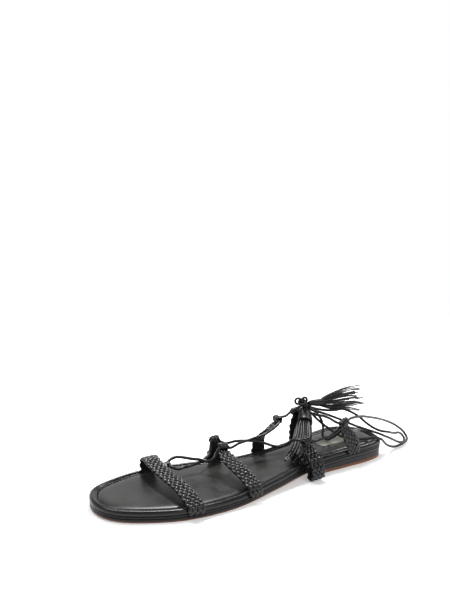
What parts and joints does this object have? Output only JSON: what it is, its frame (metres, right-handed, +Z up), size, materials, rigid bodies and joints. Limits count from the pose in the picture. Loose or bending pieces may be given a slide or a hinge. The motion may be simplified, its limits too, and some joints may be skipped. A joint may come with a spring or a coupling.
{
  "type": "huarache sandal",
  "caption": "Flat lace-up huarache sandal for the left foot with braided leather straps, thin round laces with tassels, and a padded footbed with a rolled rim.",
  "frame": {"origin": "on the floor at the centre of the heel block's ground face", "axes": "+Z up; +X along the shoe towards the heel, so the toe points to -X; +Y towards the inner (medial) side of the foot"},
  "size_m": [0.2909, 0.0877, 0.0545],
  "materials": {
    "outsole": "reddish brown leather, burnished edge, satin",
    "midsole": "black leather, satin edge",
    "insole": "smooth black leather, satin",
    "heel": "reddish brown stacked leather, satin",
    "rim": "rolled black leather, glossy, stitched along its inner groove",
    "toe_strap": "braided black leather, glossy, tan leather lining",
    "instep_strap_lateral": "braided black leather, glossy, tan leather lining",
    "instep_strap_medial": "braided black leather, glossy, tan leather lining",
    "arch_strap_lateral": "braided black leather, glossy, tan leather lining",
    "arch_strap_medial": "braided black leather, glossy, tan leather lining",
    "heel_strap_lateral": "braided black leather, glossy, tan leather lining",
    "heel_strap_medial": "braided black leather, glossy, tan leather lining",
    "lace_crossing_front": "round black leather lace, satin",
    "lace_crossing_rear": "round black leather lace, satin",
    "lace_arch_to_heel": "round black leather lace, satin",
    "lace_arch_to_knot": "round black leather lace, satin",
    "lace_loop_outer": "round black leather lace, satin",
    "lace_loop_inner": "round black leather lace, satin",
    "lace_return": "round black leather lace, satin",
    "lace_slack": "round black leather lace, satin",
    "lace_knot": "round black leather lace, satin",
    "tassel_hanging": "black leather tassel, smooth cap and cut strands",
    "tassel_lying": "black leather tassel, smooth cap and cut strands"
  },
  "bodies": {
    "root": {"outsole": "outsole", "midsole": "midsole", "insole": "insole", "heel": "heel", "rim": "rim", "toe_strap": "toe_strap", "instep_strap_lateral": "instep_strap_lateral", "instep_strap_medial": "instep_strap_medial", "arch_strap_lateral": "arch_strap_lateral", "arch_strap_medial": "arch_strap_medial", "heel_strap_lateral": "heel_strap_lateral", "heel_strap_medial": "heel_strap_medial", "lace_crossing_front": "lace_crossing_front", "lace_crossing_rear": "lace_crossing_rear", "lace_arch_to_heel": "lace_arch_to_heel", "lace_arch_to_knot": "lace_arch_to_knot", "lace_loop_outer": "lace_loop_outer", "lace_loop_inner": "lace_loop_inner", "lace_return": "lace_return", "lace_slack": "lace_slack", "lace_knot": "lace_knot", "tassel_hanging": "tassel_hanging", "tassel_lying": "tassel_lying"}
  },
  "joints": []
}
